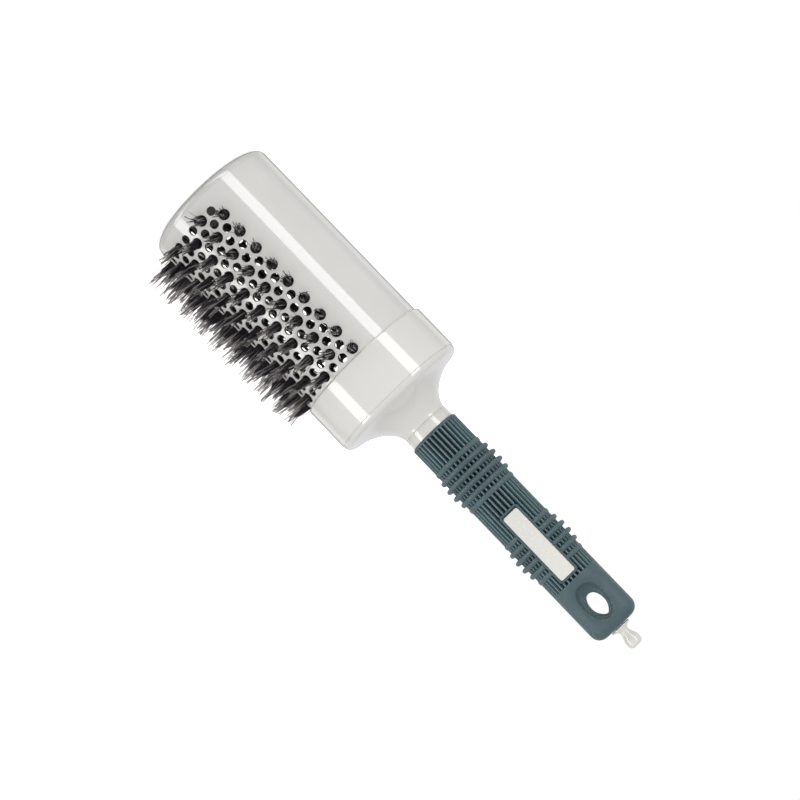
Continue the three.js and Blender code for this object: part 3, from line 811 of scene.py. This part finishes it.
def paddle_blank():
    """The smooth end before its eye is cut: round at the ribs, then flattened front and back."""
    start = GRIP_START + RIBBED_LENGTH
    straight_top = GRIP_END - PADDLE_CORNER
    outlines = []
    for i in range(17):
        height = start + (straight_top - start) * i / 16
        ease = min(1.0, (height - start) / 9.5)
        ease = ease * ease * (3 - 2 * ease)
        depth = GRIP_RADIUS + (PADDLE_HALF_DEPTH - GRIP_RADIUS) * ease
        outlines.append(paddle_outline(GRIP_RADIUS, depth, 2 + 0.75 * ease, height))
    for i in range(1, 9):
        turn = math.radians(90 * i / 8)
        shrink = PADDLE_CORNER * (1 - math.cos(turn))
        height = straight_top + PADDLE_CORNER * math.sin(turn)
        outlines.append(paddle_outline(GRIP_RADIUS - shrink, PADDLE_HALF_DEPTH - shrink * 0.8, 2.75, height))
    bm = bmesh.new()
    drawn_out(bm, bm.faces.new([bm.verts.new(point) for point in outlines[0]]), outlines[1:])
    bmesh.ops.holes_fill(bm, edges=[edge for edge in bm.edges if edge.is_boundary])
    bmesh.ops.recalc_face_normals(bm, faces=bm.faces)
    return bm


def eye_cutter():
    """An almond through the end, blunt towards the ribs, with a wide shallow dish at each mouth."""
    reach = 14
    bm = bmesh.new()
    mouth = bmesh.ops.create_circle(bm, cap_ends=True, segments=64, radius=1)["verts"]
    for vert in mouth:
        x, y = vert.co.xy
        across = EYE_HALF_WIDTH * math.copysign(abs(x) ** (1.5 if y > 0 else 0.86), x)
        vert.co = Vector((across, -reach, EYE_HEIGHT + EYE_HALF_LENGTH * y)) * MM
    far = bmesh.ops.extrude_face_region(bm, geom=bm.faces[:])["geom"]
    bmesh.ops.translate(bm, vec=(0, 2 * reach * MM, 0), verts=moved(far))
    if len([face for face in bm.faces if len(face.verts) > 4]) < 2:
        bmesh.ops.holes_fill(bm, edges=[edge for edge in bm.edges if edge.is_boundary])
    for side in (-1, 1):
        dish = bmesh.ops.create_uvsphere(bm, u_segments=48, v_segments=24, radius=MM)["verts"]
        centre = Vector((0, side * DISH_CENTRE_DEPTH, EYE_HEIGHT - DISH_SHIFT)) * MM
        bmesh.ops.scale(bm, vec=DISH_HALF_SIZE, verts=dish)
        bmesh.ops.translate(bm, vec=centre, verts=dish)
    bmesh.ops.recalc_face_normals(bm, faces=bm.faces)
    return bm


def paddle():
    """The smooth end with its hanging eye, remeshed finely so that every cut edge comes out softly rounded."""
    blank = linked("paddle_blank", bare_mesh("paddle_blank", paddle_blank()))
    cutter = linked("eye_cutter", bare_mesh("eye_cutter", eye_cutter()))
    cut = blank.modifiers.new("eye", "BOOLEAN")
    cut.operation = "DIFFERENCE"
    cut.solver = "EXACT"
    cut.use_self = True
    cut.object = cutter
    remesh = blank.modifiers.new("fine", "REMESH")
    remesh.mode = "VOXEL"
    remesh.voxel_size = 0.24 * MM
    soften = blank.modifiers.new("soften", "SMOOTH")
    soften.factor = 0.5
    soften.iterations = 12
    mesh = evaluated_mesh(blank)
    bpy.data.objects.remove(cutter)
    piece_from("grip_end", mesh, [RUBBER])


# ---------------------------------------------------------------- tail pin

def tail_pin():
    """The pin from its stem, over the flange and the waist, to the rounded head."""
    seat = GRIP_END + FIT
    tip = PIN_HIGH[2] - seat
    knob = [
        (3.9, 0), (4.1, 0.15), (4.1, 0.55), (3.95, 0.72), (3.3, 0.95), (2.6, 1.25), (2.05, 1.65), (1.8, 2.1),
        (1.75, 2.5), (1.82, 3.0), (1.95, 3.5), (2.2, 4.2), (2.5, 4.9), (2.75, 5.5), (2.9, 6.1), (2.96, 6.7),
    ]
    profile = [(0, PIN_LOW[2]), (1.7, PIN_LOW[2]), (1.9, PIN_LOW[2] + 0.3), (1.9, seat)]
    profile += [(radius, seat + height) for radius, height in knob]
    profile += arc(1.3, seat + tip - 1.6, 1.66, 1.6, 0, 90, 12)
    profile += [(0, PIN_HIGH[2])]
    piece_from("pin_shell", turned(profile, 72), [PIN_PEARL], ["tail_pin"], body="pin")


# ---------------------------------------------------------------- floor, light and camera

def either(tree, first, second):
    """One where either of two ray flags is set."""
    node = tree.nodes.new("ShaderNodeMath")
    node.operation = "MAXIMUM"
    tree.links.new(first, node.inputs[0])
    tree.links.new(second, node.inputs[1])
    return node.outputs["Value"]


def switched(tree, flag, closure_off, closure_on):
    node = tree.nodes.new("ShaderNodeMixShader")
    tree.links.new(flag, node.inputs["Fac"])
    tree.links.new(closure_off, node.inputs[1])
    tree.links.new(closure_on, node.inputs[2])
    return node.outputs["Shader"]


STRIP = 7.2  # brightness of the strip lamps, the brightest things in the room
DIFFUSE_LIGHT = 1.22
ROOM_BANDS = [
    (-180, 0.25), (-158, 0.25), (-151, 0.95), (-138, 0.95), (-131, 0.45), (-124, 0.45), (-106, 1.0),
    (-56.3, 1.0), (-55.3, STRIP), (-38.0, STRIP), (-37.0, 1.0), (53.5, 1.0), (54.5, STRIP), (73, STRIP),
    (74, 1.0), (106, 1.0), (124, 0.45), (131, 0.45), (138, 1.1), (151, 1.1), (158, 0.25), (180, 0.25),
]
ROOM_HEIGHTS = [(0.12, 0.85), (0.4, 0.85), (0.6, 0.5), (1.0, 0.5)]


def room():
    """A white room. Reflections see two tall strip lamps in it and dark flags beside the backdrop.

    The bands are angles round the axis from the camera's side, with their brightness. Above them the white
    wall goes on, up to a greyer ceiling.
    """
    world = bpy.data.worlds.new("white_room")
    bpy.context.scene.world = world
    world.use_nodes = True
    tree = world.node_tree
    path = tree.nodes.new("ShaderNodeLightPath")
    white = tree.nodes["Background"]
    white.inputs["Color"].default_value = (1, 1, 1, 1)
    white.inputs["Strength"].default_value = 1
    direction = tree.nodes.new("ShaderNodeTexCoord")
    parts = tree.nodes.new("ShaderNodeSeparateXYZ")
    tree.links.new(direction.outputs["Generated"], parts.inputs["Vector"])
    lit = tree.nodes.new("ShaderNodeBackground")
    lit.inputs["Strength"].default_value = DIFFUSE_LIGHT
    falling = ramp(tree, parts.outputs["Z"], [
        (0.0, (1, 0.998, 0.99)), (0.4, (0.88, 0.878, 0.872)), (1.0, (0.5,) * 3),
    ])
    tree.links.new(falling, lit.inputs["Color"])
    facing = tree.nodes.new("ShaderNodeMapping")
    facing.inputs["Rotation"].default_value = (0, 0, math.radians(90 - VIEW_ANGLE))
    round_axis = tree.nodes.new("ShaderNodeTexGradient")
    round_axis.gradient_type = "RADIAL"
    tree.links.new(direction.outputs["Generated"], facing.inputs["Vector"])
    tree.links.new(facing.outputs["Vector"], round_axis.inputs["Vector"])
    bands = ramp(tree, round_axis.outputs["Fac"], [
        (0.5 + angle / 360, (level / STRIP,) * 3) for angle, level in ROOM_BANDS
    ])
    overhead = ramp(tree, parts.outputs["Z"], [
        (height, shade((0.94, 0.94, 1.0), level / STRIP)) for height, level in ROOM_HEIGHTS
    ])
    blend = tree.nodes.new("ShaderNodeMix")
    blend.data_type = "RGBA"
    # behind the brush the upper wall begins lower down
    sooner = ramp(tree, round_axis.outputs["Fac"], [
        (0.17, (0.22,) * 3), (0.25, (0,) * 3), (0.75, (0,) * 3), (0.83, (0.22,) * 3)
    ])
    lifted = tree.nodes.new("ShaderNodeMath")
    tree.links.new(parts.outputs["Z"], lifted.inputs[0])
    tree.links.new(sooner, lifted.inputs[1])
    tree.links.new(remap(tree, lifted.outputs["Value"], 0, 1, 0.16, 0.3), blend.inputs["Factor"])
    tree.links.new(bands, blend.inputs["A"])
    tree.links.new(overhead, blend.inputs["B"])
    lamps = tree.nodes.new("ShaderNodeBackground")
    lamps.inputs["Strength"].default_value = STRIP
    tree.links.new(blend.outputs["Result"], lamps.inputs["Color"])
    seen = switched(tree, path.outputs["Is Glossy Ray"], lit.outputs["Background"], lamps.outputs["Background"])
    bare = either(tree, path.outputs["Is Camera Ray"], path.outputs["Is Transmission Ray"])
    seen = switched(tree, bare, seen, white.outputs["Background"])
    tree.links.new(seen, tree.nodes["World Output"].inputs["Surface"])


def pale_floor():
    """A white floor that blends into the white room and still takes the brush's soft shadow."""
    bm = bmesh.new()
    bmesh.ops.create_circle(bm, cap_ends=True, segments=96, radius=3.0)
    floor = linked("floor", bare_mesh("floor", bm))
    made, tree, shader = material("floor_white", Roughness=0.9, Specular_IOR_Level=0.1)
    shader.inputs["Base Color"].default_value = (0.85, 0.85, 0.845, 1)
    path = tree.nodes.new("ShaderNodeLightPath")
    glow = tree.nodes.new("ShaderNodeEmission")
    glow.inputs["Strength"].default_value = 0.6
    brighter = tree.nodes.new("ShaderNodeAddShader")
    tree.links.new(shader.outputs["BSDF"], brighter.inputs[0])
    tree.links.new(glow.outputs["Emission"], brighter.inputs[1])
    shown = either(tree, path.outputs["Is Camera Ray"], path.outputs["Is Transmission Ray"])
    shown = either(tree, shown, path.outputs["Is Glossy Ray"])
    mixed = switched(tree, shown, shader.outputs["BSDF"], brighter.outputs["Shader"])
    tree.links.new(mixed, tree.nodes["Material Output"].inputs["Surface"])
    floor.data.materials.append(made)
    floor.visible_glossy = False


def aimed(thing, place, target, roll=0.0):
    thing.location = place
    thing.rotation_mode = "QUATERNION"
    turn = Matrix.Rotation(math.radians(roll), 4, "Z").to_quaternion()
    thing.rotation_quaternion = (target - place).to_track_quat("-Z", "Y") @ turn


def soft_lamp(name, angle, distance, height, size, radiance):
    """A square diffuse lamp aimed at the brush's middle. Distances in metres."""
    data = bpy.data.lights.new(name, "AREA")
    data.shape = "SQUARE"
    data.size = size
    data.energy = radiance * math.pi * size ** 2
    lamp = linked(name, data)
    aimed(lamp, outward(angle) * distance + Vector((0, 0, height)), Vector((0, 0, 110 * MM)))
    lamp.visible_glossy = False
    lamp.visible_camera = False


def studio_camera():
    data = bpy.data.cameras.new("camera")
    data.sensor_width = 36
    data.lens = 104.6
    data.shift_x = -0.0538
    data.shift_y = 0.0557
    data.clip_start = 0.01
    camera = linked("camera", data)
    aimed(camera, Vector((-44.2, -850, 185.5)) * MM, Vector((0.56, 0, 126.9)) * MM, roll=136.13)
    bpy.context.scene.camera = camera


# ---------------------------------------------------------------- assembly

studio_camera()
pale_floor()
room()
soft_lamp("soft_front", VIEW_ANGLE + 12, 1.2, 0.45, 0.8, 0.9)

barrel_shell()
end_cap()
collar_shell()
neck_shell()
core_shell()
for bank in range(4):
    bristle_bank(bank)
ribbed_sleeve()
paddle()
plate_frame()
plate_face()
tail_pin()

for name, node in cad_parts.items():
    if name.startswith("anchor_wire"):
        node.data.materials.clear()
        node.data.materials.append(WIRE_STEEL)

bpy.context.scene.view_settings.view_transform = "Standard"
